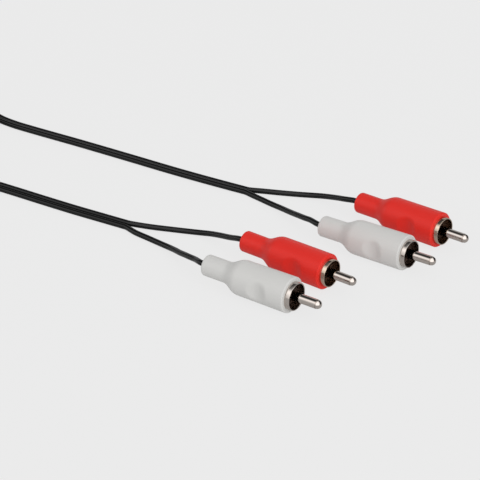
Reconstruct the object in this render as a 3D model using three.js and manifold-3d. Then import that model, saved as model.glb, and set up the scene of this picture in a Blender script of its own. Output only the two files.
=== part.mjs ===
// A stereo phono cable: a white and a red plug on each end, the flat twin cord split into two
// legs behind each pair, and the spare cord wound into a round coil held by a tie.
// Millimetres, +Z up. The plugs lie on the plane z = 0 with their pins pointing along +X.
// The origin is the bottom centre of the box round the four plugs.
import * as THREE from "three";
import { mergeVertices } from "three/addons/utils/BufferGeometryUtils.js";
import Module from "manifold-3d";

const wasm = await Module();
wasm.setup();

// Driving dimensions of a plug. The mating sizes are those of every phono plug.
const PIN_D = 3.2;
const PIN_REACH = 9.5;
const PIN_NOSE = 1.4;
const NOSE_STEP = 0.1;
const RING_OD = 9.6;
const RING_WALL = 0.35;
const RING_PROUD = 1.8;
const RIM_CHAMFER = 0.05;
const BARREL_LENGTH = 7.6;
const SLEEVE_OD = 7.2;
const SLEEVE_LENGTH = 6.9;
const SOCKET_DEPTH = 6.0;
const INSULATOR_LENGTH = 7.0;
const STEM_D = 2.4;
const STEM_LENGTH = 10.15;
const CUP_D = 1.4;
const CUP_DEPTH = 2.4;

// The moulded grip and the boot behind it
const GRIP_FRONT_D = 12.4;
const GRIP_BACK_D = 12.15;
const GRIP_LENGTH = 19.2;
const FACE_ROUND = 0.45;
const FLARE_LENGTH = 6.9;
const FLARE_EASE = 0.4;
const BOOT_D = 7.35;
const BOOT_LENGTH = 8.3;
const BOOT_ROUND = 0.7;
const SCOOP_RADIUS = 6.0;
const SCOOP_DEPTH = 1.1;
const SCOOP_SETBACK = 12.2;

// The cord, its two conductors and its coil
const LEG_D = 2.0;
const STRAND_SPACING = 2.1;
const CORE_D = 1.1;
const WIRE_D = 0.8;
const SHIELD_D = 0.6;
const BARE_LENGTH = 5.3;
const CORE_LENGTH = 5.5;
const TWIN_ROLL = 15;
const COIL_CENTRE = [-204, -6];
const COIL_MIDDLE_R = 24.0;
const COIL_COLUMNS = 4;
const COIL_LAYERS = 2;
const TURN_PITCH = 2.2;
const COIL_SLACK = 0.2;
const TIE_THICKNESS = 0.5;
const TIE_WIDTH = 4.0;
const TIE_CORNER = 1.5;
const TIE_BLOCK = [3.2, 5.4, 4.2];

// Clearances: FIT is radial between nested round pieces, GAP lies between faces that meet
const FIT = 0.15;
const GAP = 0.3;

// Derived sizes, with x measured along the plug's axis from the mouth of its ground ring
const PIN_R = PIN_D / 2;
const RING_R = RING_OD / 2;
const SLEEVE_R = SLEEVE_OD / 2;
const STEM_R = STEM_D / 2;
const CUP_R = CUP_D / 2;
const LEG_R = LEG_D / 2;
const BOOT_R = BOOT_D / 2;
const GRIP_FRONT_R = GRIP_FRONT_D / 2;
const GRIP_BACK_R = GRIP_BACK_D / 2;
const FACE_X = -RING_PROUD;
const SHOULDER_X = FACE_X - GRIP_LENGTH;
const FLARE_X = SHOULDER_X - FLARE_LENGTH;
const BOOT_X = FLARE_X - BOOT_LENGTH;
const BARREL_X = -BARREL_LENGTH;
const SLEEVE_X = BARREL_X - SLEEVE_LENGTH;
const INSULATOR_X = -SOCKET_DEPTH;
const PIN_SEAT_X = INSULATOR_X + FIT;
const STEM_X = PIN_SEAT_X - STEM_LENGTH;
const WIRE_X = STEM_X + CUP_DEPTH - GAP;
const CORE_X = WIRE_X - BARE_LENGTH - GAP;
const JACKET_X = CORE_X - CORE_LENGTH - GAP;
const CAVITY_X = SLEEVE_X - 2 * GAP;
const BORE_X = JACKET_X - LEG_D;
const BORE_R = LEG_R + FIT;
const FACE_EDGE_X = FACE_X - FACE_ROUND;
const TWIN_WIDTH = STRAND_SPACING + LEG_D;

const SCOOP_SIDES = 64;
const ROUND_SIDES = 32;
const FINE_SIDES = 16;
const CORD_SIDES = 8;
const LEG_STEPS = 10;
const TAIL_STEPS = 6;

const WHITE = { color: 0xcfcdc6, roughness: 0.5, metalness: 0 };
const RED = { color: 0xd33a33, roughness: 0.45, metalness: 0 };
const NICKEL = { color: 0xd6d2ca, roughness: 0.2, metalness: 1 };
const BLACK = { color: 0x151312, roughness: 0.6, metalness: 0 };
const COPPER = { color: 0xb8744a, roughness: 0.35, metalness: 1 };
const CLEAR_WHITE = { color: 0xe6e4de, roughness: 0.6, metalness: 0 };
const JACKET = { color: 0x2e2d2c, roughness: 0.55, metalness: 0 };

// The four plugs: where the mouth of each ground ring is, its heading and its nose-down pitch in
// degrees, and the points that its leg passes from where it starts to droop to the other leg
const PLUGS = [
  {
    name: "white_a",
    look: WHITE,
    mouth: [6.77, -33.94],
    heading: 2.2,
    pitch: 1.1,
    leg: [
      [-36.1, -32.9, 5.7],
      [-39.3, -31.7, 5.0],
      [-42.6, -30.3, 4.2],
      [-46.0, -28.8, 3.3],
      [-49.3, -27.2, 2.5],
      [-53.0, -25.7, 1.7],
      [-58.0, -24.6, 1.2],
      [-64.0, -23.9, 1.1],
      [-70.5, -23.3, 1.1],
      [-76.1, -22.1, 1.3],
    ],
  },
  {
    name: "red_a",
    look: RED,
    mouth: [6.66, -13.98],
    heading: 0.1,
    pitch: 1.3,
    leg: [
      [-37.3, -12.5, 5.2],
      [-42.5, -11.0, 3.7],
      [-47.5, -9.9, 2.3],
      [-52.0, -10.1, 1.4],
      [-56.5, -11.5, 1.1],
      [-62.1, -13.9, 1.1],
      [-69.1, -16.8, 1.1],
      [-76.1, -19.8, 1.3],
    ],
  },
  {
    name: "white_b",
    look: WHITE,
    mouth: [20.1, 13.23],
    heading: 0.8,
    pitch: -0.4,
    leg: [
      [-22.6, 14.3, 5.6],
      [-25.6, 15.3, 5.0],
      [-29.0, 16.8, 4.2],
      [-34.5, 19.2, 2.9],
      [-40.5, 21.6, 1.8],
      [-46.0, 23.1, 1.2],
      [-51.5, 24.1, 1.1],
      [-55.5, 24.7, 1.1],
      [-59.4, 25.1, 1.1],
    ],
  },
  {
    name: "red_b",
    look: RED,
    mouth: [19.99, 34.18],
    heading: -1.5,
    pitch: -0.1,
    leg: [
      [-22.8, 35.4, 5.3],
      [-26.5, 36.5, 4.2],
      [-30.5, 37.5, 3.0],
      [-34.5, 37.9, 2.0],
      [-38.5, 37.1, 1.4],
      [-42.5, 35.6, 1.1],
      [-48.7, 32.5, 1.1],
      [-54.5, 29.8, 1.1],
      [-59.4, 27.6, 1.1],
    ],
  },
];

// The two stretches of twin cord, each from its split to where it reaches the coil
const TWIN_A = [
  [-76.6, -21.0, 1.3],
  [-85.5, -21.9, 1.3],
  [-98.5, -23.2, 1.3],
  [-111.8, -24.2, 1.3],
  [-125.6, -25.1, 1.3],
  [-138.0, -26.1, 1.3],
  [-150.0, -27.6, 1.3],
  [-162.0, -29.8, 1.3],
  [-173.0, -31.6, 1.5],
  [-182.0, -32.7, 2.0],
  [-190.1, -33.2, 2.6],
];
const TWIN_B = [
  [-60.0, 26.3, 1.1],
  [-66.3, 25.6, 1.1],
  [-79.0, 24.3, 1.1],
  [-92.3, 23.2, 1.1],
  [-108.3, 22.2, 1.1],
  [-122.2, 21.3, 1.1],
  [-136.2, 20.3, 1.1],
  [-148.0, 19.3, 1.1],
  [-158.0, 18.5, 1.1],
  [-166.0, 18.1, 1.1],
  [-174.0, 18.3, 1.4],
  [-180.0, 19.0, 2.5],
  [-185.5, 20.2, 4.4],
  [-190.1, 21.1, 6.0],
];

const group = new THREE.Group();

function addMesh(parent, name, geometry, look) {
  const mesh = new THREE.Mesh(geometry, new THREE.MeshStandardMaterial(look));
  mesh.name = name;
  parent.add(mesh);
  return mesh;
}

// Turns an outline of (x, radius) points about the x axis
function turned(points, sides) {
  const profile = points.map(([x, r]) => new THREE.Vector2(r, x));
  const geometry = new THREE.LatheGeometry(profile, sides);
  geometry.rotateZ(-Math.PI / 2);
  return geometry;
}

function closed(points) {
  return [...points, points[0]];
}

function pathPoints(path, divisions) {
  return path.getPoints(divisions).map((point) => [point.x, point.y]);
}

function rod(x0, x1, radius, sides) {
  return turned([[x0, 0], [x0, radius], [x1, radius], [x1, 0]], sides);
}

function swept(curve, section, steps) {
  return new THREE.ExtrudeGeometry(section, { steps, bevelEnabled: false, extrudePath: curve });
}

function curveThrough(points) {
  return new THREE.CatmullRomCurve3(points.map((point) => new THREE.Vector3(...point)));
}

function roundSection(radius, sides) {
  const corners = [];
  for (let i = 0; i < sides; i++) {
    const angle = ((i + 0.5) * 2 * Math.PI) / sides;
    corners.push(new THREE.Vector2(radius * Math.cos(angle), radius * Math.sin(angle)));
  }
  return new THREE.Shape(corners);
}

// The outline round two strands side by side, rolled about the cord's own line
function twinSection(rollDegrees) {
  const corners = [];
  const centre = new THREE.Vector2();
  for (const side of [1, -1]) {
    for (let i = 0; i < CORD_SIDES / 2 + 1; i++) {
      const angle = Math.PI / 2 - (i * Math.PI) / (CORD_SIDES / 2) + (side < 0 ? Math.PI : 0);
      const across = (side * STRAND_SPACING) / 2 + LEG_R * Math.cos(angle);
      const corner = new THREE.Vector2(LEG_R * Math.sin(angle), across);
      corners.push(corner.rotateAround(centre, THREE.MathUtils.degToRad(rollDegrees)));
    }
  }
  return new THREE.Shape(corners);
}

function solidOf(geometry) {
  const bare = geometry.clone();
  bare.deleteAttribute("normal");
  bare.deleteAttribute("uv");
  const merged = mergeVertices(bare, 1e-4);
  const triVerts = [];
  for (let i = 0; i < merged.index.count; i += 3) {
    const [a, b, c] = [0, 1, 2].map((k) => merged.index.getX(i + k));
    if (a !== b && b !== c && c !== a) {
      triVerts.push(a, b, c);
    }
  }
  const mesh = new wasm.Mesh({
    numProp: 3,
    vertProperties: Float32Array.from(merged.attributes.position.array),
    triVerts: Uint32Array.from(triVerts),
  });
  return new wasm.Manifold(mesh);
}

function geometryOf(solid) {
  const mesh = solid.getMesh();
  const geometry = new THREE.BufferGeometry();
  geometry.setAttribute("position", new THREE.BufferAttribute(Float32Array.from(mesh.vertProperties), 3));
  geometry.setIndex(new THREE.BufferAttribute(Uint32Array.from(mesh.triVerts), 1));
  return geometry;
}

// The grip and boot are one moulding, open through its middle for the shell, the joints and the leg
function gripMoulding() {
  const ease = FLARE_LENGTH * FLARE_EASE;
  const outline = new THREE.Path();
  outline.moveTo(BOOT_X, BORE_R);
  outline.lineTo(BOOT_X, BOOT_R - BOOT_ROUND);
  outline.quadraticCurveTo(BOOT_X, BOOT_R, BOOT_X + BOOT_ROUND, BOOT_R);
  outline.lineTo(FLARE_X, BOOT_R);
  outline.bezierCurveTo(
    FLARE_X + ease, BOOT_R, SHOULDER_X - ease, GRIP_BACK_R, SHOULDER_X, GRIP_BACK_R,
  );
  outline.lineTo(FACE_EDGE_X, GRIP_FRONT_R);
  outline.quadraticCurveTo(FACE_X, GRIP_FRONT_R, FACE_X, GRIP_FRONT_R - FACE_ROUND);
  const cavity = [
    [FACE_X, RING_R + FIT],
    [BARREL_X - FIT, RING_R + FIT],
    [BARREL_X - FIT, SLEEVE_R + FIT],
    [CAVITY_X, SLEEVE_R + FIT],
    [BORE_X, BORE_R],
  ];
  const body = solidOf(turned(closed([...pathPoints(outline, 5), ...cavity]), ROUND_SIDES));
  return geometryOf(scoops().reduce((rest, scoop) => rest.subtract(scoop), body));
}

// The shallow finger scoop on each flank is cut by an upright cylinder
function scoops() {
  const x = -SCOOP_SETBACK;
  const share = (x - SHOULDER_X) / (FACE_X - SHOULDER_X);
  const gripRadius = GRIP_BACK_R + (GRIP_FRONT_R - GRIP_BACK_R) * share;
  return [1, -1].map((side) => {
    const cutter = new THREE.CylinderGeometry(SCOOP_RADIUS, SCOOP_RADIUS, GRIP_FRONT_D, SCOOP_SIDES);
    cutter.rotateX(Math.PI / 2);
    cutter.translate(x, side * (gripRadius - SCOOP_DEPTH + SCOOP_RADIUS), 0);
    return solidOf(cutter);
  });
}

// The ground ring is the open mouth of a drawn shell with a narrower sleeve behind it
function groundShell() {
  const inner = RING_R - RING_WALL;
  const sleeveInner = SLEEVE_R - RING_WALL;
  const outline = [
    [SLEEVE_X, sleeveInner],
    [SLEEVE_X, SLEEVE_R],
    [BARREL_X, SLEEVE_R],
    [BARREL_X, RING_R],
    [-RIM_CHAMFER, RING_R],
    [0, RING_R - RIM_CHAMFER],
    [0, inner + RIM_CHAMFER],
    [-RIM_CHAMFER, inner],
    [BARREL_X + RING_WALL, inner],
    [BARREL_X + RING_WALL, sleeveInner],
  ];
  return turned(closed(outline), ROUND_SIDES);
}

// A flanged bush holds the pin in the middle of the shell
function insulator() {
  const flangeX = BARREL_X + RING_WALL + FIT;
  const flangeR = RING_R - RING_WALL - FIT;
  const bodyR = SLEEVE_R - RING_WALL - FIT;
  const outline = [
    [INSULATOR_X - INSULATOR_LENGTH, STEM_R + FIT],
    [INSULATOR_X - INSULATOR_LENGTH, bodyR],
    [flangeX, bodyR],
    [flangeX, flangeR],
    [INSULATOR_X, flangeR],
    [INSULATOR_X, STEM_R + FIT],
  ];
  return turned(closed(outline), FINE_SIDES);
}

// The pin has a bullet nose behind a fine step, a seat on the insulator and a solder cup
function pin() {
  const noseX = PIN_REACH - PIN_NOSE;
  const noseR = PIN_R - NOSE_STEP;
  const outline = [
    [STEM_X + CUP_DEPTH, 0],
    [STEM_X + CUP_DEPTH, CUP_R],
    [STEM_X, CUP_R],
    [STEM_X, STEM_R],
    [PIN_SEAT_X, STEM_R],
    [PIN_SEAT_X, PIN_R],
    [noseX - NOSE_STEP, PIN_R],
  ];
  const nose = new THREE.EllipseCurve(noseX, 0, PIN_NOSE, noseR, Math.PI / 2, 0, true);
  const arc = nose.getPoints(5).map((point) => [point.x, Math.max(point.y, 0)]);
  arc[arc.length - 1][1] = 0;
  return turned([...outline, ...arc], FINE_SIDES);
}

// The leg's shield is twisted into a tail that rises to the rear rim of the shell
function shieldTail() {
  const low = CORE_D / 2 + FIT + SHIELD_D / 2;
  const high = SLEEVE_R - SHIELD_D / 2 - FIT / 2;
  const rearX = JACKET_X + GAP;
  const frontX = SLEEVE_X - GAP;
  const middleX = (rearX + frontX) / 2;
  const curve = new THREE.CubicBezierCurve3(
    new THREE.Vector3(rearX, 0, low),
    new THREE.Vector3(middleX, 0, low),
    new THREE.Vector3(middleX, 0, high),
    new THREE.Vector3(frontX, 0, high),
  );
  return swept(curve, roundSection(SHIELD_D / 2, CORD_SIDES), TAIL_STEPS);
}

// A plug lies on the edge of its face, or on its shoulder when its nose points up
function mouthHeight(pitch) {
  const onFace = GRIP_FRONT_R * Math.cos(pitch) + FACE_EDGE_X * Math.sin(pitch);
  const onShoulder = GRIP_BACK_R * Math.cos(pitch) + SHOULDER_X * Math.sin(pitch);
  return Math.max(onFace, onShoulder);
}

// The frame of a plug: its x axis is the plug's axis, with the origin at the ring's mouth
function plugFrame(plug) {
  const heading = THREE.MathUtils.degToRad(plug.heading);
  const pitch = THREE.MathUtils.degToRad(plug.pitch);
  const frame = new THREE.Group();
  frame.position.set(plug.mouth[0], plug.mouth[1], mouthHeight(pitch));
  frame.rotation.set(0, pitch, heading, "ZYX");
  frame.updateMatrix();
  return frame;
}

function addPlug(plug) {
  const frame = plugFrame(plug);
  group.add(frame);
  const add = (piece, geometry, look) => addMesh(frame, `${plug.name}_${piece}`, geometry, look);
  add("grip", gripMoulding(), plug.look);
  add("ring", groundShell(), NICKEL);
  add("insulator", insulator(), BLACK);
  add("pin", pin(), NICKEL);
  add("wire", rod(WIRE_X - BARE_LENGTH, WIRE_X, WIRE_D / 2, CORD_SIDES), COPPER);
  add("core", rod(CORE_X - CORE_LENGTH, CORE_X, CORE_D / 2, CORD_SIDES), CLEAR_WHITE);
  add("shield", shieldTail(), COPPER);
  add("jacket", rod(BOOT_X, JACKET_X, LEG_R, FINE_SIDES), JACKET);
}

// The leg leaves the boot straight along the plug's axis before it droops
function addLeg(plug) {
  const frame = plugFrame(plug);
  const onAxis = (x) => new THREE.Vector3(x, 0, 0).applyMatrix4(frame.matrix).toArray();
  const route = [onAxis(BOOT_X - GAP), onAxis(BOOT_X - LEG_D), ...plug.leg];
  const leg = swept(curveThrough(route), roundSection(LEG_R, CORD_SIDES), LEG_STEPS);
  addMesh(group, `${plug.name}_leg`, leg, JACKET);
}

function addTwin(name, route, roll, steps) {
  addMesh(group, name, swept(curveThrough(route), twinSection(roll), steps), JACKET);
}

// The coil is the outer shape of its turns: strands on edge, columns side by side, in layers
const COIL_BREADTH = COIL_COLUMNS * TURN_PITCH + COIL_SLACK;
const COIL_HEIGHT = COIL_LAYERS * TWIN_WIDTH + COIL_SLACK;
const COIL_Z = TIE_THICKNESS + GAP;

function addCoil() {
  const bevel = LEG_R;
  const halfBreadth = COIL_BREADTH / 2;
  const profile = [
    [-halfBreadth, bevel],
    [-halfBreadth + bevel, 0],
    [halfBreadth - bevel, 0],
    [halfBreadth, bevel],
    [halfBreadth, COIL_HEIGHT - bevel],
    [halfBreadth - bevel, COIL_HEIGHT],
    [-halfBreadth + bevel, COIL_HEIGHT],
    [-halfBreadth, COIL_HEIGHT - bevel],
  ].map(([across, up]) => new THREE.Vector2(COIL_MIDDLE_R + across, up));
  const geometry = new THREE.LatheGeometry(closed(profile), 40);
  geometry.rotateX(Math.PI / 2);
  const coil = addMesh(group, "cord_coil", geometry, JACKET);
  coil.position.set(COIL_CENTRE[0], COIL_CENTRE[1], COIL_Z);
}

function roundedBox(outline, width, height, radius) {
  const [w, h] = [width / 2, height / 2];
  outline.moveTo(-w + radius, -h);
  outline.lineTo(w - radius, -h);
  outline.quadraticCurveTo(w, -h, w, -h + radius);
  outline.lineTo(w, h - radius);
  outline.quadraticCurveTo(w, h, w - radius, h);
  outline.lineTo(-w + radius, h);
  outline.quadraticCurveTo(-w, h, -w, h - radius);
  outline.lineTo(-w, -h + radius);
  outline.quadraticCurveTo(-w, -h, -w + radius, -h);
  return outline;
}

// The tie is a strap round the coil's far side, with the block that grips its end
function addTie() {
  const innerBreadth = COIL_BREADTH + 2 * GAP;
  const innerHeight = COIL_HEIGHT + 2 * GAP;
  const outerBreadth = innerBreadth + 2 * TIE_THICKNESS;
  const outerHeight = innerHeight + 2 * TIE_THICKNESS;
  const strap = roundedBox(new THREE.Shape(), outerBreadth, outerHeight, TIE_CORNER);
  strap.holes.push(roundedBox(new THREE.Path(), innerBreadth, innerHeight, TIE_CORNER - TIE_THICKNESS));
  const options = { depth: TIE_WIDTH, bevelEnabled: false, curveSegments: 3 };
  const loop = new THREE.ExtrudeGeometry(strap, options);
  loop.rotateX(Math.PI / 2);
  loop.translate(0, TIE_WIDTH / 2, 0);
  const block = new THREE.BoxGeometry(...TIE_BLOCK);
  block.translate(TIE_THICKNESS - (outerBreadth + TIE_BLOCK[0]) / 2, 0, 0);
  const tie = addMesh(group, "coil_tie", geometryOf(solidOf(loop).add(solidOf(block))), BLACK);
  tie.position.set(COIL_CENTRE[0] - COIL_MIDDLE_R, COIL_CENTRE[1], outerHeight / 2);
}

for (const plug of PLUGS) {
  addPlug(plug);
  addLeg(plug);
}
addTwin("cord_twin_a", TWIN_A, TWIN_ROLL, 12);
addTwin("cord_twin_b", TWIN_B, 0, 14);
addCoil();
addTie();

export default group;
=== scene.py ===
# %% [markdown]
# # A stereo audio cable with four moulded plugs
#
# Two black twin cords come in from the left. Each splits into two legs, and each leg ends in a
# plug: a red one and a white one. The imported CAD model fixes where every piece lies, and this
# notebook dresses it. The frame comes first, because each later piece is placed by its numbers.

# %% Frame
import math

import bmesh
import bpy
import numpy as np
from mathutils import Matrix, Vector


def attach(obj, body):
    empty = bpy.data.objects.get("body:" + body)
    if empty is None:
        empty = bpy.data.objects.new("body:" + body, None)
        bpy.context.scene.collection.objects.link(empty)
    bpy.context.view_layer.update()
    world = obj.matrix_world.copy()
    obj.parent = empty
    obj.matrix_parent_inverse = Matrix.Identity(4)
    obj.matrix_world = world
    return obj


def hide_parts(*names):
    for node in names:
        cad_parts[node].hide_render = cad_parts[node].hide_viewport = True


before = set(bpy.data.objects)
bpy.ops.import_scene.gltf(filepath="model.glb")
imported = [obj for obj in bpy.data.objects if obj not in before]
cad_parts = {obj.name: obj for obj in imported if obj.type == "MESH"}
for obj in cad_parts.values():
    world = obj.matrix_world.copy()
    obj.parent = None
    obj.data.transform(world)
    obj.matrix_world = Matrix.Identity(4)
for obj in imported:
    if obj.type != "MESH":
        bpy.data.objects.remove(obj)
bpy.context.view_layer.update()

MM = 0.001

# %% [markdown]
# ## The camera
#
# The picture is taken with a long lens from the front right, looking down. A long lens keeps the
# far plugs almost as large as the near ones. The camera is placed by the point it looks at, two
# angles and a distance, so that each can be read off and changed by itself.

# %% Camera
LOOK_AT = Vector((-39.33, -3.99, 0.0)) * MM
AZIMUTH = math.radians(37.39)
ELEVATION = math.radians(27.54)
CAMERA_DISTANCE = 0.750
LENS = 162.12
SENSOR = 36.0
CLIP_START = 0.01


def new_object(name, data):
    """An object in the scene."""
    made = bpy.data.objects.new(name, data)
    bpy.context.collection.objects.link(made)
    return made


camera_data = bpy.data.cameras.new("camera")
camera_data.lens = LENS
camera_data.sensor_width = SENSOR
camera_data.clip_start = CLIP_START
camera = new_object("camera", camera_data)
backwards = Vector((
    math.sin(AZIMUTH) * math.cos(ELEVATION),
    -math.cos(AZIMUTH) * math.cos(ELEVATION),
    math.sin(ELEVATION),
))
camera.location = LOOK_AT + backwards * CAMERA_DISTANCE
camera.rotation_euler = (math.pi / 2 - ELEVATION, 0.0, AZIMUTH)
bpy.context.scene.camera = camera
bpy.context.scene.view_settings.view_transform = "Standard"
print("camera at", [round(value, 4) for value in camera.location])

# %% [markdown]
# ## Writing node trees as sums
#
# A material is a tree of nodes, and adding each Math node by hand hides the idea in wiring. Here
# one class wraps a node's output, so that `grain * 0.1 + 0.4` adds the two Math nodes by itself.

# %% Node outputs


class Wire:
    """An output of a node. Arithmetic on it adds Math nodes to the same tree."""

    def __init__(self, tree, socket):
        self.tree = tree
        self.socket = socket

    def maths(self, operation, *values):
        """A Math node. The values are all its operands, this wire among them."""
        kind = "ShaderNodeMath"
        return self.tree.node(kind, {"operation": operation}, dict(enumerate(values)))

    def __add__(self, other):
        return self.maths("ADD", self, other)

    def __sub__(self, other):
        return self.maths("SUBTRACT", self, other)

    def __mul__(self, other):
        return self.maths("MULTIPLY", self, other)

    def __truediv__(self, other):
        return self.maths("DIVIDE", self, other)

    def __rsub__(self, other):
        return self.maths("SUBTRACT", other, self)

    def __neg__(self):
        return self.maths("MULTIPLY", self, -1.0)

    __radd__ = __add__
    __rmul__ = __mul__


# %% [markdown]
# ## Making nodes on demand
#
# A second class stands for the whole tree. It adds a node of any kind, gives it its settings, and
# fills its sockets from plain values or from the outputs of other nodes. Materials, the world and
# Geometry Nodes all use it.

# %% Node trees


class Tree:
    """A node tree that makes its nodes on demand."""

    def __init__(self, node_tree):
        self.nodes = node_tree.nodes
        self.links = node_tree.links

    def node(self, kind, settings=None, inputs=None, output=0):
        """Adds a node, sets its settings, then fills its sockets by name or number."""
        made = self.nodes.new(kind)
        for name, value in (settings or {}).items():
            if name == "stops":
                self.fill_ramp(made.color_ramp, value)
            else:
                setattr(made, name, value)
        for key, value in (inputs or {}).items():
            self.fill(made.inputs[key], value)
        return Wire(self, made.outputs[output]) if len(made.outputs) else made

    def fill(self, socket, value):
        if isinstance(value, Wire):
            self.links.new(value.socket, socket)
        else:
            socket.default_value = value

    def fill_ramp(self, ramp, stops):
        while len(ramp.elements) < len(stops):
            ramp.elements.new(1.0)
        for element, (place, level) in zip(ramp.elements, stops):
            element.position = place
            element.color = (level, level, level, 1.0)


# %% [markdown]
# ## The parts of a material
#
# Every finish here is one Principled shader. Its colour, roughness and relief come from noise that
# is fixed to the piece, at a few scales: broad clouds, slow drifts, and a grain too fine to count.

# %% Material helpers


def new_material(name):
    """An empty node material and its tree."""
    material = bpy.data.materials.new(name)
    material.use_nodes = True
    material.node_tree.nodes.clear()
    return material, Tree(material.node_tree)


def finish_surface(tree, constants, varying):
    """Ends a material in one Principled shader."""
    shader = tree.node("ShaderNodeBsdfPrincipled", None, {**constants, **varying})
    tree.node("ShaderNodeOutputMaterial", None, {"Surface": shader})


def noise(tree, scale, detail=2.0, stretch=(1.0, 1.0, 1.0)):
    """Noise from 0 to 1 on the piece's own coordinates, scale in cycles per metre."""
    place = tree.node("ShaderNodeTexCoord", output="Object")
    shaped = tree.node("ShaderNodeMapping", None, {"Vector": place, "Scale": stretch})
    return tree.node(
        "ShaderNodeTexNoise", None, {"Vector": shaped, "Scale": scale, "Detail": detail}
    )


def bump(tree, height, distance):
    """A normal from a height between 0 and 1 that stands for distance in metres."""
    return tree.node("ShaderNodeBump", None, {"Height": height, "Distance": distance})


def mix_colour(tree, factor, low, high):
    """The colour between low and high."""
    return tree.node(
        "ShaderNodeMix", {"data_type": "RGBA"}, {0: factor, 6: (*low, 1), 7: (*high, 1)}, 2
    )


# %% [markdown]
# ## The cord's jacket
#
# The jacket is black PVC, drawn through a round die. It isn't mirror smooth: a fine grain breaks up
# the highlight into the soft line that runs along each strand, and the roughness drifts where hands
# have polished it.

# %% Jacket material
JACKET_DARK = (0.0032, 0.0034, 0.0034)
JACKET_LIGHT = (0.0052, 0.0054, 0.0055)
JACKET_ROUGHNESS = 0.16
JACKET_WEAR = 0.08


def jacket_material():
    material, tree = new_material("cord_jacket")
    grain = noise(tree, scale=4200.0, detail=3.0)
    drift = noise(tree, scale=160.0)
    finish_surface(
        tree,
        {"IOR": 1.5, "Specular IOR Level": 0.25},
        {
            "Base Color": mix_colour(tree, drift, JACKET_DARK, JACKET_LIGHT),
            "Roughness": drift * JACKET_WEAR + JACKET_ROUGHNESS,
            "Normal": bump(tree, grain, 0.012 * MM),
        },
    )
    return material


JACKET = jacket_material()
print("jacket nodes:", len(JACKET.node_tree.nodes))

# %% [markdown]
# ## Where the plugs and cords lie
#
# A plug's place is the middle of its ring's mouth, its heading on the table and how far its nose
# points down, in degrees. A cord is a fixed length of something soft, so its route is settled
# before its shape: straight out of the boot, down onto the table, and along it. Each route is a few
# points in millimetres.

# %% Places and routes
PLUGS = {
    "white_a": {
        "mouth": (6.77, -33.94, 6.156), "heading": 2.2, "pitch": 1.1, "finish": "white",
        "lead": [
            (-36.1, -32.9, 5.7), (-39.3, -31.7, 5.0), (-42.6, -30.3, 4.2), (-46.0, -28.8, 3.3),
            (-49.3, -27.2, 2.5), (-53.0, -25.7, 1.7), (-58.0, -24.6, 1.2), (-64.0, -23.9, 1.1),
            (-70.5, -23.3, 1.1),
        ],
    },
    "red_a": {
        "mouth": (6.66, -13.98, 6.147), "heading": 0.1, "pitch": 1.3, "finish": "red",
        "lead": [
            (-37.3, -12.5, 5.2), (-42.5, -11.0, 3.7), (-47.5, -9.9, 2.3), (-52.0, -10.1, 1.4),
            (-56.5, -11.5, 1.1), (-62.1, -13.9, 1.1), (-69.1, -16.8, 1.1),
        ],
    },
    "white_b": {
        "mouth": (20.1, 13.23, 6.222), "heading": 0.8, "pitch": -0.4, "finish": "white",
        "lead": [
            (-22.6, 14.3, 5.6), (-25.6, 15.3, 5.0), (-29.0, 16.8, 4.2), (-34.5, 19.2, 2.9),
            (-40.5, 21.6, 1.8), (-46.0, 23.1, 1.2), (-51.5, 24.1, 1.1), (-55.5, 24.7, 1.1),
        ],
    },
    "red_b": {
        "mouth": (19.99, 34.18, 6.204), "heading": -1.5, "pitch": -0.1, "finish": "red",
        "lead": [
            (-22.8, 35.4, 5.3), (-26.5, 36.5, 4.2), (-30.5, 37.5, 3.0), (-34.5, 37.9, 2.0),
            (-38.5, 37.1, 1.4), (-42.5, 35.6, 1.1), (-48.7, 32.5, 1.1), (-54.5, 29.8, 1.1),
        ],
    },
}
TWIN_A = [
    (-76.6, -21.0, 1.3), (-85.5, -21.9, 1.3), (-98.5, -23.2, 1.3), (-111.8, -24.2, 1.3),
    (-125.6, -25.1, 1.3), (-138.0, -26.1, 1.3), (-150.0, -27.6, 1.3), (-162.0, -29.8, 1.3),
    (-173.0, -31.6, 1.5), (-182.0, -32.7, 2.0), (-190.1, -33.2, 2.6),
]
TWIN_B = [
    (-60.0, 26.3, 1.1), (-66.3, 25.6, 1.1), (-79.0, 24.3, 1.1), (-92.3, 23.2, 1.1),
    (-108.3, 22.2, 1.1), (-122.2, 21.3, 1.1), (-136.2, 20.3, 1.1), (-148.0, 19.3, 1.1),
    (-158.0, 18.5, 1.1), (-166.0, 18.1, 1.1), (-174.0, 18.3, 1.4), (-180.0, 19.0, 2.5),
    (-185.5, 20.2, 4.4), (-190.1, 21.1, 6.0),
]
print("plugs:", ", ".join(PLUGS))

# %% [markdown]
# ## One smooth curve through a few points
#
# A centripetal Catmull-Rom curve passes through every point without loops or overshoot, also where
# the points are close together. It is sampled finely, measured, and then divided into even steps,
# so that the rings of a cord's mesh stand evenly along it.

# %% Curves
TWIN_STEP = 1.2
FINE_STEPS = 24


def steps_between(points):
    return np.linalg.norm(np.diff(points, axis=0), axis=1)


def distances_along(points):
    """How far along a line of points each of them lies."""
    return np.concatenate([[0.0], np.cumsum(steps_between(points))])


def length_of(points):
    return float(steps_between(points).sum())


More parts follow.
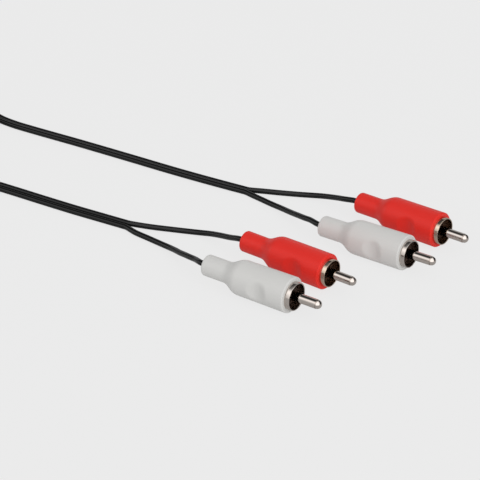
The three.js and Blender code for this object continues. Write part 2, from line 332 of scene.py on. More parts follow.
def curve_through(points, step=TWIN_STEP):
    """Points about step apart on the centripetal Catmull-Rom curve through the given ones."""
    given = np.array(points, float)
    given = np.vstack([2 * given[0] - given[1], given, 2 * given[-1] - given[-2]])
    fine = []
    for p0, p1, p2, p3 in zip(given, given[1:], given[2:], given[3:]):
        t0 = 0.0
        t1 = t0 + np.linalg.norm(p1 - p0) ** 0.5
        t2 = t1 + np.linalg.norm(p2 - p1) ** 0.5
        t3 = t2 + np.linalg.norm(p3 - p2) ** 0.5
        t = np.linspace(t1, t2, FINE_STEPS, endpoint=False)[:, None]
        a1 = (t1 - t) / (t1 - t0) * p0 + (t - t0) / (t1 - t0) * p1
        a2 = (t2 - t) / (t2 - t1) * p1 + (t - t1) / (t2 - t1) * p2
        a3 = (t3 - t) / (t3 - t2) * p2 + (t - t2) / (t3 - t2) * p3
        b1 = (t2 - t) / (t2 - t0) * a1 + (t - t0) / (t2 - t0) * a2
        b2 = (t3 - t) / (t3 - t1) * a2 + (t - t1) / (t3 - t1) * a3
        fine.append((t2 - t) / (t2 - t1) * b1 + (t - t1) / (t2 - t1) * b2)
    fine = np.vstack([*fine, given[-2:-1]])
    walked = distances_along(fine)
    places = np.linspace(0.0, walked[-1], max(2, round(walked[-1] / step) + 1))
    return np.column_stack([np.interp(places, walked, fine[:, axis]) for axis in range(3)])


for name, points in (("front", TWIN_A), ("far", TWIN_B)):
    print(name, "twin cord up to the coil:", round(length_of(curve_through(points))), "mm")

# %% [markdown]
# ## Winding the spare length
#
# The picture shows only the ends of the cable. The rest is put away as a shop would do it: a neat
# round coil beside the view. The twin cord stands on edge, so that each turn needs only one
# strand's thickness. Four turns step inwards on the table, the cord climbs one layer, and the turns
# step outwards again on top. A formula for radius and height against the number of turns gives it.

# %% Coil
COIL_CENTRE = (-204.0, -6.0)
OUTER_TURN = 27.3
TURN_PITCH = 2.2
BOTTOM_TURNS = 4
TURNS = 7.5
BOTTOM_HEIGHT = 2.95
LAYER = 4.1
STEP_SHARE = 0.25
CLIMB_SHARE = 0.2
POINTS_PER_TURN = 36


def ease(value):
    """A smooth step from 0 to 1."""
    value = min(max(value, 0.0), 1.0)
    return value * value * (3 - 2 * value)


def coil_point(turn):
    """Where the cord is after some turns. On top, its steps come half a turn later."""
    inner, outer = range(1, BOTTOM_TURNS), range(BOTTOM_TURNS, int(TURNS))
    inwards = sum(ease((turn - step) / STEP_SHARE) for step in inner)
    outwards = sum(ease((turn - step - 0.5) / STEP_SHARE) for step in outer)
    radius = OUTER_TURN - TURN_PITCH * (inwards - outwards)
    height = BOTTOM_HEIGHT + LAYER * ease((turn - BOTTOM_TURNS + CLIMB_SHARE) / CLIMB_SHARE)
    angle = -math.pi / 2 - 2 * math.pi * turn
    x = COIL_CENTRE[0] + radius * math.cos(angle)
    y = COIL_CENTRE[1] + radius * math.sin(angle)
    return (x, y, height)


turns = np.linspace(0.0, TURNS, int(TURNS * POINTS_PER_TURN) + 1)
coil_points = [coil_point(turn) for turn in turns]
twin_route = curve_through([*TWIN_A, *coil_points, *reversed(TWIN_B)])
print("twin cord:", round(length_of(twin_route)), "mm in", len(twin_route), "rings")

# %% [markdown]
# ## One tree for every cord
#
# The section of the twin cord is two round strands with a thin web between them, and a leg is one
# such strand. Geometry Nodes carries the section along the route. A circle's points are moved into
# two lobes by a rule: with the lobes together it is a plain circle, and with them apart the ends of
# the arcs face each other over the groove. The route's tilt rolls the section, which lays the cord
# flat on the table and stands it on edge in the coil.

# %% Cord tree
LOBE_POINTS = 16


def new_group(name, shape_in, sizes, shape_out):
    """A Geometry Nodes group, its tree, and its inputs: a shape, some sizes and a material."""
    group = bpy.data.node_groups.new(name, "GeometryNodeTree")
    kinds = {shape_in: "NodeSocketGeometry", **dict.fromkeys(sizes, "NodeSocketFloat")}
    for label, kind in {**kinds, "Finish": "NodeSocketMaterial"}.items():
        group.interface.new_socket(label, in_out="INPUT", socket_type=kind)
    group.interface.new_socket(shape_out, in_out="OUTPUT", socket_type="NodeSocketGeometry")
    tree = Tree(group)
    outputs = tree.node("NodeGroupInput").socket.node.outputs
    return group, tree, {label: Wire(tree, socket) for label, socket in outputs.items()}


def end_group(tree, shape, finish, shape_out):
    """Makes a shape's instances real, gives it its material and puts it out."""
    whole = tree.node("GeometryNodeRealizeInstances", None, {"Geometry": shape})
    coated = tree.node("GeometryNodeSetMaterial", None, {"Geometry": whole, "Material": finish})
    tree.node("NodeGroupOutput", None, {shape_out: coated})


def cord_tree():
    sizes = ("Strand radius", "Spacing", "Half arc")
    group, tree, given = new_group("cord_along_route", "Route", sizes, "Cord")
    index = tree.node("GeometryNodeInputIndex")
    second = index.maths("GREATER_THAN", index, LOBE_POINTS - 0.5)
    lobe = 1 - second * 2
    share = (index - second * LOBE_POINTS) / (LOBE_POINTS - 1)
    angle = given["Half arc"] * (share * 2 - 1)
    radius = given["Strand radius"]
    across = lobe * (given["Spacing"] * 0.5 + radius * angle.maths("COSINE", angle))
    up = lobe * radius * angle.maths("SINE", angle)
    place = tree.node("ShaderNodeCombineXYZ", None, {"X": across, "Y": up})

    ring = tree.node("GeometryNodeCurvePrimitiveCircle", None, {"Resolution": 2 * LOBE_POINTS})
    section = tree.node("GeometryNodeSetPosition", None, {"Geometry": ring, "Position": place})
    route = tree.node("GeometryNodeSetCurveNormal", {"mode": "Z_UP"}, {"Curve": given["Route"]})
    tube = tree.node(
        "GeometryNodeCurveToMesh", None,
        {"Curve": route, "Profile Curve": section, "Fill Caps": True},
    )
    end_group(tree, tube, given["Finish"], "Cord")
    return group


CORD_TREE = cord_tree()
print("cord tree nodes:", len(CORD_TREE.nodes))

# %% [markdown]
# ## Plain pieces
#
# A piece is an object at the origin with a plain mesh. The mesh is welded, its faces are turned
# outwards, and its edges are sharp only at corners. The CAD nodes that a piece stands for are
# hidden, and the piece rides on the root body.

# %% Pieces
WELD = 0.001
CORNER = 40.0


def plain_piece(name, mesh, sharp=CORNER):
    """An object at the origin with a closed, welded mesh."""
    work = bmesh.new()
    work.from_mesh(mesh)
    bmesh.ops.remove_doubles(work, verts=work.verts, dist=WELD * MM)
    bmesh.ops.recalc_face_normals(work, faces=work.faces)
    work.to_mesh(mesh)
    work.free()
    mesh.shade_smooth()
    mesh.set_sharp_from_angle(angle=math.radians(sharp))
    mesh.name = name
    return new_object(name, mesh)


def enter(piece, slot, *nodes):
    """Hides the CAD nodes that a piece stands for, and hangs the piece on the root body. The slot
    is not used.
    """
    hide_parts(*nodes)
    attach(piece, "root")
    return piece


# %% [markdown]
# ## From a route to a piece
#
# A route becomes a curve object, which carries a tree of Geometry Nodes. The shape that the tree
# gives is then taken as a plain mesh, and the curve object is removed.

# %% Routes to pieces


def route_object(points, tilts):
    """A poly curve through points in millimetres, with a tilt at each."""
    data = bpy.data.curves.new("route", "CURVE")
    data.dimensions = "3D"
    spline = data.splines.new("POLY")
    spline.points.add(len(points) - 1)
    for point, place, tilt in zip(spline.points, points, tilts):
        point.co = (*(place * MM), 1.0)
        point.tilt = tilt
    return new_object("route", data)


def with_nodes(host, group, values):
    """Adds the tree to host, its inputs set by their identifiers."""
    modifier = host.modifiers.new("nodes", "NODES")
    modifier.node_group = group
    for item in group.interface.items_tree:
        if item.item_type == "SOCKET" and item.in_out == "INPUT" and item.name in values:
            modifier[item.identifier] = values[item.name]
    return host


def settle(host, name):
    """Turns a host with Geometry Nodes into a plain piece."""
    evaluated = host.evaluated_get(bpy.context.evaluated_depsgraph_get())
    mesh = bpy.data.meshes.new_from_object(evaluated)
    bpy.data.objects.remove(host)
    return plain_piece(name, mesh)


# %% [markdown]
# ## The twin cord
#
# The front twin lies rolled by 15 degrees, as it comes off the split, and the far one lies flat.
# Over 30 mm each rolls on until it stands on edge, 14 mm into the coil's first or last turn.

# %% Twin cord
STRAND_RADIUS = 1.0
STRAND_SPACING = 2.1
WEB_HALF_THICKNESS = 0.3
FRONT_ROLL = -15.0
EDGE_ROLL = -90.0
ROLL_LENGTH = 30.0
ROLL_OVERLAP = 14.0

walked = distances_along(twin_route)
coil_start = length_of(curve_through(TWIN_A)) + ROLL_OVERLAP
coil_end = walked[-1] - length_of(curve_through(TWIN_B)) - ROLL_OVERLAP


def roll_at(distance):
    """The cord's roll, in radians, at a distance from its front end."""
    entering = ease((distance - coil_start + ROLL_LENGTH) / ROLL_LENGTH)
    leaving = ease((distance - coil_end) / ROLL_LENGTH)
    front = FRONT_ROLL + (EDGE_ROLL - FRONT_ROLL) * entering
    return math.radians(front * (1 - leaving))


twin = settle(
    with_nodes(
        route_object(twin_route, [roll_at(distance) for distance in walked]),
        CORD_TREE,
        {
            "Strand radius": STRAND_RADIUS * MM,
            "Spacing": STRAND_SPACING * MM,
            "Half arc": math.pi - math.asin(WEB_HALF_THICKNESS / STRAND_RADIUS),
            "Finish": JACKET,
        },
    ),
    "twin_cord",
)
enter(twin, "cord_jacket", "cord_twin_a", "cord_twin_b", "cord_coil")
print("twin cord faces:", len(twin.data.polygons))

# %% [markdown]
# ## The routes of the legs
#
# Each leg is one strand of the twin. It starts inside the plug's boot, where its jacket is
# stripped, leaves the boot along the plug's axis, sinks to the table and meets its strand at the
# split. Places along a plug's axis are measured from the rim of its ring, and negative ones lie
# behind it.

# %% Leg routes
BOOT_BACK = -36.2
LEG_HEAD = (-25.3, -31.0, BOOT_BACK - 0.3, BOOT_BACK - 2.0)
SPLIT_DEPTHS = (-0.6, 0.8)
LEG_STEP = 0.9
SPLITS = {
    "a": (np.array(TWIN_A[0]), np.array(TWIN_A[1]), FRONT_ROLL),
    "b": (np.array(TWIN_B[0]), np.array(TWIN_B[1]), 0.0),
}


def plug_place(plug):
    """The matrix, in millimetres, from a plug's own axes to where the plug lies."""
    heading = Matrix.Rotation(math.radians(plug["heading"]), 4, "Z")
    pitch = Matrix.Rotation(math.radians(plug["pitch"]), 4, "Y")
    return Matrix.Translation(plug["mouth"]) @ heading @ pitch


def on_axis(plug, x):
    """The point at x along a plug's axis."""
    return tuple(plug_place(plug) @ Vector((x, 0.0, 0.0)))


def strand_end(name, depth):
    """A point on the strand that the leg becomes, depth millimetres into the twin cord."""
    start, following, roll = SPLITS[name[-1]]
    along = (following - start) / np.linalg.norm(following - start)
    left = np.array([along[1], -along[0], 0.0])
    side = 1.0 if name.startswith("red") else -1.0
    roll = math.radians(roll)
    across = left * math.cos(roll) + np.array([0.0, 0.0, -math.sin(roll)])
    return tuple(start + along * depth + across * side * STRAND_SPACING / 2)


def leg_route(name, plug):
    head = [on_axis(plug, x) for x in LEG_HEAD]
    tail = [strand_end(name, depth) for depth in SPLIT_DEPTHS]
    return curve_through([*head, *plug["lead"], *tail], LEG_STEP)


LEG_ROUTES = {name: leg_route(name, plug) for name, plug in PLUGS.items()}
print("rings per leg:", [len(route) for route in LEG_ROUTES.values()])

# %% [markdown]
# ## The legs
#
# The cord's tree with its two lobes together makes a leg. Each lobe then covers half a turn less
# one step, which spaces the points evenly round the circle.

# %% Legs
for name, plug in PLUGS.items():
    route = LEG_ROUTES[name]
    leg = settle(
        with_nodes(
            route_object(route, [0.0] * len(route)),
            CORD_TREE,
            {
                "Strand radius": STRAND_RADIUS * MM,
                "Spacing": 0.0,
                "Half arc": math.pi / 2 * (1 - 1 / LOBE_POINTS),
                "Finish": JACKET,
            },
        ),
        f"{name}_lead",
    )
    enter(leg, "cord_jacket", f"{name}_leg", f"{name}_jacket")
    print(name, "leg:", round(length_of(route), 1), "mm")

# %% [markdown]
# ## Moulded plastic
#
# The grips are soft PVC, moulded over the plug. The mould is bead blasted, so the surface has a
# fine matt grain and no sharp highlight. The colour isn't quite even either: it clouds a little
# with the flow of the plastic. The same recipe makes the bushes and the black nylon of the coil's
# tie. The bushes are a dark brownish black, but their colour here is lifted to a mid brownish grey:
# painted light that stands in for the light that hardly reaches them, deep in the mouth.

# %% Plastic materials
FLOW_STRETCH = (0.5, 1.0, 1.0)
GRAIN_ROUGHNESS = 0.12


def moulded_plastic(name, base, cloud, roughness):
    """A matt moulding whose colour clouds between base and cloud."""
    material, tree = new_material(name)
    flow = noise(tree, scale=140.0, detail=3.0, stretch=FLOW_STRETCH)
    grain = noise(tree, scale=5200.0)
    finish_surface(
        tree,
        {"IOR": 1.48, "Specular IOR Level": 0.34},
        {
            "Base Color": mix_colour(tree, flow, base, cloud),
            "Roughness": grain * GRAIN_ROUGHNESS + roughness,
            "Normal": bump(tree, grain, 0.010 * MM),
        },
    )
    return material


WHITE = moulded_plastic("white_moulding", (0.610, 0.605, 0.588), (0.640, 0.635, 0.620), 0.40)
RED = moulded_plastic("red_moulding", (0.710, 0.017, 0.010), (0.770, 0.023, 0.014), 0.36)
# The bush's colour is lifted well above its real brownish black, as painted light for the shade
# deep in the mouth.
BUSH = moulded_plastic("bush_painted_light", (0.135, 0.094, 0.081), (0.160, 0.115, 0.099), 0.45)
NYLON = moulded_plastic("black_nylon", (0.010, 0.009, 0.008), (0.016, 0.014, 0.013), 0.40)

# %% [markdown]
# ## Plated metal
#
# The pin and the ring are turned brass under bright nickel. Nickel is a little warmer than chrome.
# The lathe leaves fine rings round the axis, which nickel covers but doesn't hide, so the roughness
# changes in thin bands along it. The red plugs' rings are plated a little warmer than the rest.

# %% Metal materials
TURNED = (1.0, 0.12, 0.12)
DRAWN = (0.15, 1.0, 1.0)
BAND_ROUGHNESS = 0.05


def plated_metal(name, base, stain, roughness, stretch):
    """A metal whose colour drifts from base to stain, with fine bands stretched by its making."""
    material, tree = new_material(name)
    bands = noise(tree, scale=2600.0, stretch=stretch)
    drift = noise(tree, scale=300.0)
    finish_surface(
        tree,
        {"Metallic": 1.0},
        {
            "Base Color": mix_colour(tree, drift, base, stain),
            "Roughness": bands * BAND_ROUGHNESS + roughness,
            "Normal": bump(tree, bands, 0.0006 * MM),
        },
    )
    return material


NICKEL = plated_metal(
    "nickel_plate", (0.560, 0.510, 0.475), (0.520, 0.465, 0.425), 0.05, TURNED
)
WARM_NICKEL = plated_metal(
    "warm_nickel_plate", (0.560, 0.460, 0.375), (0.520, 0.410, 0.320), 0.05, TURNED
)
COPPER = plated_metal("copper", (0.780, 0.340, 0.190), (0.620, 0.250, 0.130), 0.26, DRAWN)
print("materials:", [material.name for material in bpy.data.materials])

# %% [markdown]
# ## Turned pieces
#
# Everything in the plug is round about one axis, so one function spins a profile. Points on the
# axis become a single pole, and a profile that closes on itself becomes a ring without poles.
# Corners that the light should catch get a short arc in the profile, not a bevel added later.

# %% Turning
POLE_RADIUS = 1e-6


def arc(centre, radius, start, end, steps):
    """Points on a circle round centre, in (x, r), from start to end degrees."""
    angles = np.radians(np.linspace(start, end, steps + 1))
    return [(centre[0] + radius * math.cos(a), centre[1] + radius * math.sin(a)) for a in angles]


def even_angles(count):
    return np.linspace(0.0, 2 * math.pi, count, endpoint=False)


def mesh_of(work, name):
    """Ends a bmesh as a mesh."""
    mesh = bpy.data.meshes.new(name)
    work.to_mesh(mesh)
    work.free()
    return mesh


def turned_mesh(profile, angles, closed, shape=None):
    """Spins (x, r) points in millimetres about X. shape may move a point (x, y, z)."""
    work = bmesh.new()
    rings = []
    for x, r in profile:
        around = angles if r > POLE_RADIUS else angles[:1]
        ring = []
        for angle in around:
            place = (x, r * math.cos(angle), r * math.sin(angle))
            place = shape(place, angle) if shape else place
            ring.append(work.verts.new(Vector(place) * MM))
        rings.append(ring)
    pairs = list(zip(rings, rings[1:]))
    if closed:
        pairs.append((rings[-1], rings[0]))
    count = len(angles)
    for near, far in pairs:
        for i in range(count):
            j = (i + 1) % count
            corners = [
                near[i % len(near)], near[j % len(near)], far[j % len(far)], far[i % len(far)]
            ]
            work.faces.new(list(dict.fromkeys(corners)))
    return mesh_of(work, "turned")


# %% [markdown]
# ## Setting a piece in its plug
#
# Each mesh is made on the plug's own axes and is then moved to where the plug lies, once for each
# of the four plugs. The object itself stays at the origin.

# %% Placing


def in_place(mesh, plug):
    """Moves a mesh from the plug's own axes to where the plug lies."""
    place = plug_place(plug)
    place.translation *= MM
    mesh.transform(place)
    return mesh


def dress(name, mesh, plug, material, slot, node, sharp=CORNER):
    """A plug's piece, from a mesh on the plug's own axes."""
    piece = plain_piece(name, in_place(mesh, plug), sharp)
    piece.data.materials.append(material)
    return enter(piece, slot, node)


# %% [markdown]
# ## The grip's profile
#
# The grip is the plug's moulding. From the front it is a round face with a soft edge, then a body
# that tapers slightly, an S-shaped flare, and a slim boot that ends round the leg. Inside, a
# stepped cavity holds the shell and narrows to a bore for the leg.

# %% Grip profile
FACE_X = -1.8
FACE_RADIUS = 6.2
FACE_ROUND = 0.45
SHOULDER_X = -21.0
SHOULDER_RADIUS = 6.075
FLARE_X = -27.9
FLARE_EASE = 2.76
BOOT_RADIUS = 3.675
BOOT_ROUND = 0.7
MOUTH_RADIUS = 4.82
CAVITY_STEP = -7.75
CAVITY_RADIUS = 3.75
CAVITY_BACK = -15.1
CONE_BACK = -27.3
BORE_RADIUS = 1.06
BORE_EDGE = 0.1
FLARE_RINGS = 18
BODY_STEP = 0.3
BODY_GAP = 0.2
BOOT_FIRST = 1.1
BOOT_STEP = 0.6


def grip_profile():
    """The grip's outline, from the boot's end over the outside to the face, and back inside."""
    knots = [(FLARE_X, BOOT_RADIUS), (FLARE_X + FLARE_EASE, BOOT_RADIUS)]
    knots += [(SHOULDER_X - FLARE_EASE, SHOULDER_RADIUS), (SHOULDER_X, SHOULDER_RADIUS)]
    p0, p1, p2, p3 = (np.array(knot) for knot in knots)
    flare = []
    for t in np.linspace(0.0, 1.0, FLARE_RINGS + 1)[1:]:
        s = 1 - t
        flare.append(tuple(s ** 3 * p0 + 3 * s * s * t * p1 + 3 * s * t * t * p2 + t ** 3 * p3))
    slope = math.degrees(math.atan((FACE_RADIUS - SHOULDER_RADIUS) / (FACE_X - SHOULDER_X)))
    body_end = FACE_X - FACE_ROUND
    body = []
    for x in np.arange(SHOULDER_X + BODY_STEP, body_end - BODY_GAP, BODY_STEP):
        share = (x - SHOULDER_X) / (body_end - SHOULDER_X)
        body.append((x, SHOULDER_RADIUS + (FACE_RADIUS - SHOULDER_RADIUS) * share))
    back = (BOOT_BACK + BOOT_ROUND, BOOT_RADIUS - BOOT_ROUND)
    front = (body_end, FACE_RADIUS - FACE_ROUND)
    return [
        (BOOT_BACK + BORE_EDGE, BORE_RADIUS),
        (BOOT_BACK, BORE_RADIUS + BORE_EDGE),
        *arc(back, BOOT_ROUND, 180.0, 90.0, 6),
        *[(x, BOOT_RADIUS) for x in np.arange(BOOT_BACK + BOOT_FIRST, FLARE_X, BOOT_STEP)],
        (FLARE_X, BOOT_RADIUS),
        *flare,
        *body,
        *arc(front, FACE_ROUND, 90.0 + slope, 0.0, 10),
        (FACE_X, MOUTH_RADIUS),
        (CAVITY_STEP, MOUTH_RADIUS),
        (CAVITY_STEP, CAVITY_RADIUS),
        (CAVITY_BACK, CAVITY_RADIUS),
        (CONE_BACK, BORE_RADIUS),
    ]


GRIP_PROFILE = grip_profile()
print("grip profile:", len(GRIP_PROFILE), "points")

# %% [markdown]
# ## Finger scoops and the mould's line
#
# A shallow finger scoop lies on each flank, as if cut by an upright cylinder. A real mould rounds
# the scoop's edge, so here the surface and the cylinder are blended by a soft minimum instead of a
# cut. The mould's two halves meet along the top and the bottom, where they leave a fine raised
# line. The profile is spun in closer steps there, and the inside of the grip is left round.

# %% Grips
SCOOP_X = -12.2
SCOOP_RADIUS = 6.0
SCOOP_DEPTH = 1.1
SCOOP_SOFTNESS = 0.6
LINE_HEIGHT = 0.05
LINE_ANGLES = np.radians([-4.0, -2.4, -1.3, 0.0, 1.3, 2.4, 4.0])
LINE_RAISE = [0.0, 0.0, 0.6, 1.0, 0.6, 0.0, 0.0]
LINE_ROOM = math.radians(5.0)
GRIP_POINTS = 120
INSIDE_RADIUS = MOUTH_RADIUS + 0.2
INSIDE_BOOT = 2.0
GRIP_FINISHES = {"white": (WHITE, "white_moulding"), "red": (RED, "red_moulding")}


def grip_angles():
    """Even angles, with closer ones round the two lines of the mould."""
    seams = [math.pi / 2 + a for a in LINE_ANGLES] + [-math.pi / 2 + a for a in LINE_ANGLES]
    kept = [a for a in even_angles(GRIP_POINTS) if abs(math.cos(a)) > math.sin(LINE_ROOM)]
    return np.array(sorted([a % (2 * math.pi) for a in seams] + kept))


def line_raise(angle):
    """How far the mould's line stands up at this angle round the grip."""
    from_seam = abs(math.remainder(angle - math.pi / 2, math.pi))
    return LINE_HEIGHT * float(np.interp(from_seam, np.abs(LINE_ANGLES[3:]), LINE_RAISE[3:]))


def soft_least(a, b, softness):
    """The lesser of two numbers, with a rounded change from one to the other."""
    overlap = max(softness - abs(a - b), 0.0) / softness
    return min(a, b) - overlap * overlap * softness / 4


def shape_grip(place, angle):
    """Raises the mould's line and presses the scoops into the outside of the grip."""
    x, y, z = place
    radius = math.hypot(y, z)
    if (radius < INSIDE_RADIUS and x > SHOULDER_X) or radius < INSIDE_BOOT:
        return place
    scale = (radius + line_raise(angle)) / radius
    y, z = y * scale, z * scale
    reach = SCOOP_RADIUS ** 2 - (x - SCOOP_X) ** 2
    share = (SCOOP_X - SHOULDER_X) / (FACE_X - SHOULDER_X)
    floor = SHOULDER_RADIUS + (FACE_RADIUS - SHOULDER_RADIUS) * share - SCOOP_DEPTH
    cut = floor + SCOOP_RADIUS - math.sqrt(max(reach, 0.0))
    return (x, math.copysign(soft_least(abs(y), cut, SCOOP_SOFTNESS), y), z)


for name, plug in PLUGS.items():
    material, slot = GRIP_FINISHES[plug["finish"]]
    mesh = turned_mesh(GRIP_PROFILE, grip_angles(), True, shape_grip)
    grip = dress(f"{name}_moulded_grip", mesh, plug, material, slot, f"{name}_grip")
print("grip faces:", len(grip.data.polygons))

# %% [markdown]
# ## The ring
#
# The outer contact is a drawn shell: a wide mouth that stands proud of the face, and a narrower
# sleeve inside the grip. Its rim is rounded on both sides, and each round edge draws a fine line of
# light.

# %% Ring profile
RING_RADIUS = 4.8
RING_WALL = 0.35
RIM = 0.08
BARREL_X = -7.6
BARREL_ROUND = 0.3
SLEEVE_RADIUS = 3.6
SLEEVE_X = -14.5


def ring_profile():
    inner = RING_RADIUS - RING_WALL
    sleeve_inner = SLEEVE_RADIUS - RING_WALL
    shoulder = (BARREL_X + BARREL_ROUND, RING_RADIUS - BARREL_ROUND)
    return [
        (SLEEVE_X, sleeve_inner),
        (SLEEVE_X, SLEEVE_RADIUS),
        (BARREL_X, SLEEVE_RADIUS),
        *arc(shoulder, BARREL_ROUND, 180.0, 90.0, 4),
        *arc((-RIM, RING_RADIUS - RIM), RIM, 90.0, 0.0, 5),
        *arc((-RIM, inner + RIM), RIM, 0.0, -90.0, 5),
        (BARREL_X + RING_WALL, inner),
        (BARREL_X + RING_WALL, sleeve_inner),
    ]


RING_PROFILE = ring_profile()
print("ring profile:", len(RING_PROFILE), "points")

# %% [markdown]
# ## The bush
#
# A black bush sits in the shell and holds the pin. It is a hair smaller than the inside of the
# shell, its front edge is rounded, and a low collar rises round the pin.

# %% Bush profile
BUSH_X = -6.0
BUSH_LENGTH = 7.0
BUSH_PLAY = 0.02
BUSH_ROUND = 0.2
COLLAR_HEIGHT = 0.25
COLLAR_FOOT = 0.55
COLLAR_TOP = 0.4
STEM_RADIUS = 1.2
STEM_PLAY = 0.15
PIN_RADIUS = 1.6


def bush_profile():
    inner = RING_RADIUS - RING_WALL - BUSH_PLAY
    body = SLEEVE_RADIUS - RING_WALL - BUSH_PLAY
    back = BUSH_X - BUSH_LENGTH
    flange = BARREL_X + RING_WALL + BUSH_PLAY
    return [
        (back, STEM_RADIUS + STEM_PLAY),
        (back, body),
        (flange, body),
        (flange, inner),
        *arc((BUSH_X - BUSH_ROUND, inner - BUSH_ROUND), BUSH_ROUND, 90.0, 0.0, 3),
        (BUSH_X, PIN_RADIUS + COLLAR_FOOT),
        (BUSH_X + COLLAR_HEIGHT, PIN_RADIUS + COLLAR_TOP),
        (BUSH_X + COLLAR_HEIGHT, STEM_RADIUS + STEM_PLAY),
    ]


BUSH_PROFILE = bush_profile()
print("bush profile:", len(BUSH_PROFILE), "points")

# %% [markdown]
# ## The pin
#
# The pin's nose is a blunt half ellipse, and a fine groove goes round the pin just behind it. A
# thinner stem runs back through the bush and ends in a solder cup.

# %% Pin profile
PIN_TIP = 9.5
PIN_FOOT = 0.15
PIN_RINGS = 12
FIRST_RING = 1.0
LAST_RING = 0.6
NOSE = 1.4
NOSE_STEP = 0.1
NOSE_RINGS = 15
GROOVE = 0.22
GROOVE_DEPTH = 0.2
CUP_X = -16.0
CUP_DEPTH = 2.4
CUP_RADIUS = 0.7


def pin_profile():
    nose_x = PIN_TIP - NOSE
    nose_r = PIN_RADIUS - NOSE_STEP
    angles = np.radians(np.linspace(90.0, 0.0, NOSE_RINGS))
    nose = [(nose_x + NOSE * math.cos(a), nose_r * math.sin(a)) for a in angles]
    rings = np.linspace(BUSH_X + FIRST_RING, nose_x - LAST_RING, PIN_RINGS)
    return [
        (CUP_X + CUP_DEPTH, 0.0),
        (CUP_X + CUP_DEPTH, CUP_RADIUS),
        (CUP_X, CUP_RADIUS),
        (CUP_X, STEM_RADIUS),
        (BUSH_X + PIN_FOOT, STEM_RADIUS),
        (BUSH_X + PIN_FOOT, PIN_RADIUS),
        *[(x, PIN_RADIUS) for x in rings],
        (nose_x - GROOVE, PIN_RADIUS),
        (nose_x - GROOVE, PIN_RADIUS - GROOVE_DEPTH),
        (nose_x, PIN_RADIUS - GROOVE_DEPTH),
        *nose[:-1],
        (PIN_TIP, 0.0),
    ]


PIN_PROFILE = pin_profile()
print("pin profile:", len(PIN_PROFILE), "points")

# %% [markdown]
# ## The contacts in their plugs
#
# The three profiles are spun in fine steps, because bright metal shows every facet. The shells of
# the red plugs get the warmer plate.

# %% Contacts
CONTACT_POINTS = 96
CONTACT_CORNER = 30.0
CONTACTS = {
    "shell": ("ring", RING_PROFILE, True, NICKEL, "nickel_plate"),
    "bush": ("insulator", BUSH_PROFILE, True, BUSH, "black_plastic"),
    "centre_pin": ("pin", PIN_PROFILE, False, NICKEL, "nickel_plate"),
}
for name, plug in PLUGS.items():
    for piece, (node, profile, closed, material, slot) in CONTACTS.items():
        if piece == "shell" and plug["finish"] == "red":
            material = WARM_NICKEL
        mesh = turned_mesh(profile, even_angles(CONTACT_POINTS), closed)
        dress(f"{name}_{piece}", mesh, plug, material, slot, f"{name}_{node}", CONTACT_CORNER)
print("contacts:", len(CONTACTS) * len(PLUGS))

# %% [markdown]
# ## The conductors
#
# Inside the boot the leg is stripped: the copper shield is twisted to a tail and rises to the
# shell, and the core runs on to the pin's cup. These CAD solids already have the right shape, so
# they only get their finish.

# %% Conductors
CORE = moulded_plastic("core_plastic", (0.700, 0.700, 0.680), (0.740, 0.740, 0.720), 0.30)
CONDUCTORS = {"wire": COPPER, "shield": COPPER, "core": CORE}
for name in PLUGS:
    for part, material in CONDUCTORS.items():
        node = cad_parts[f"{name}_{part}"]
        node.data.materials.clear()
        node.data.materials.append(material)
print("conductors:", len(CONDUCTORS) * len(PLUGS))

# %% [markdown]
# ## A strap with teeth
#
# A black nylon tie holds the coil. Geometry Nodes sweeps the strap's section along its loop and
# sets a tooth at even steps, so the teeth follow the strap if its size changes.

# %% Strap tree
SECTION_ROUND = 0.3
TOOTH_LENGTH = 0.45
TOOTH_BREADTH = 0.7


def strap_tree():
    sizes = ("Width", "Thickness", "Pitch", "Tooth height")
    group, tree, given = new_group("toothed_strap", "Loop", sizes, "Strap")
    loop = tree.node("GeometryNodeSetCurveNormal", {"mode": "Z_UP"}, {"Curve": given["Loop"]})
    band = tree.node(
        "GeometryNodeCurvePrimitiveQuadrilateral", None,
        {"Width": given["Thickness"], "Height": given["Width"]},
    )
    band = tree.node(
        "GeometryNodeFilletCurve", {"mode": "POLY"},
        {"Curve": band, "Radius": given["Thickness"] * SECTION_ROUND, "Count": 3},
    )
    strap = tree.node("GeometryNodeCurveToMesh", None, {"Curve": loop, "Profile Curve": band})

    stations = tree.node(
        "GeometryNodeResampleCurve", {"mode": "LENGTH"}, {"Curve": loop, "Length": given["Pitch"]}
    )
    along = tree.node(
        "ShaderNodeSeparateXYZ", None, {0: tree.node("GeometryNodeInputTangent")}
    ).socket.node.outputs
    along_x, along_y = Wire(tree, along["X"]), Wire(tree, along["Y"])
    turn = along_x.maths("ARCTAN2", along_y, along_x)
    rotation = tree.node("ShaderNodeCombineXYZ", None, {"Z": turn})
    reach = given["Thickness"] + given["Tooth height"] * 2
    size = tree.node(
        "ShaderNodeCombineXYZ", None,
        {"X": given["Pitch"] * TOOTH_LENGTH, "Y": reach, "Z": given["Width"] * TOOTH_BREADTH},
    )
    tooth = tree.node("GeometryNodeMeshCube", None, {"Size": size})
    teeth = tree.node(
        "GeometryNodeInstanceOnPoints", None,
        {"Points": stations, "Instance": tooth, "Rotation": rotation},
    )
    both = tree.node("GeometryNodeJoinGeometry", None, {"Geometry": strap})
    tree.links.new(teeth.socket, both.socket.node.inputs["Geometry"])
    end_group(tree, both, given["Finish"], "Strap")
    return group


STRAP_TREE = strap_tree()
print("strap tree nodes:", len(STRAP_TREE.nodes))

# %% [markdown]
# ## The strap round the coil
#
# The strap's loop is a rounded rectangle round the bundle of turns. It is made flat and then stood
# upright, so that it goes round the bundle where the turns run along Y.

# %% Strap
TIE_PLACE = Vector((-228.0, -6.0, 5.0))
LOOP_BREADTH = 10.1
LOOP_HEIGHT = 9.5
LOOP_CORNER = 1.25
STRAP_THICKNESS = 0.5
STRAP_WIDTH = 4.0
TOOTH_PITCH = 0.9
TOOTH_HEIGHT = 0.09


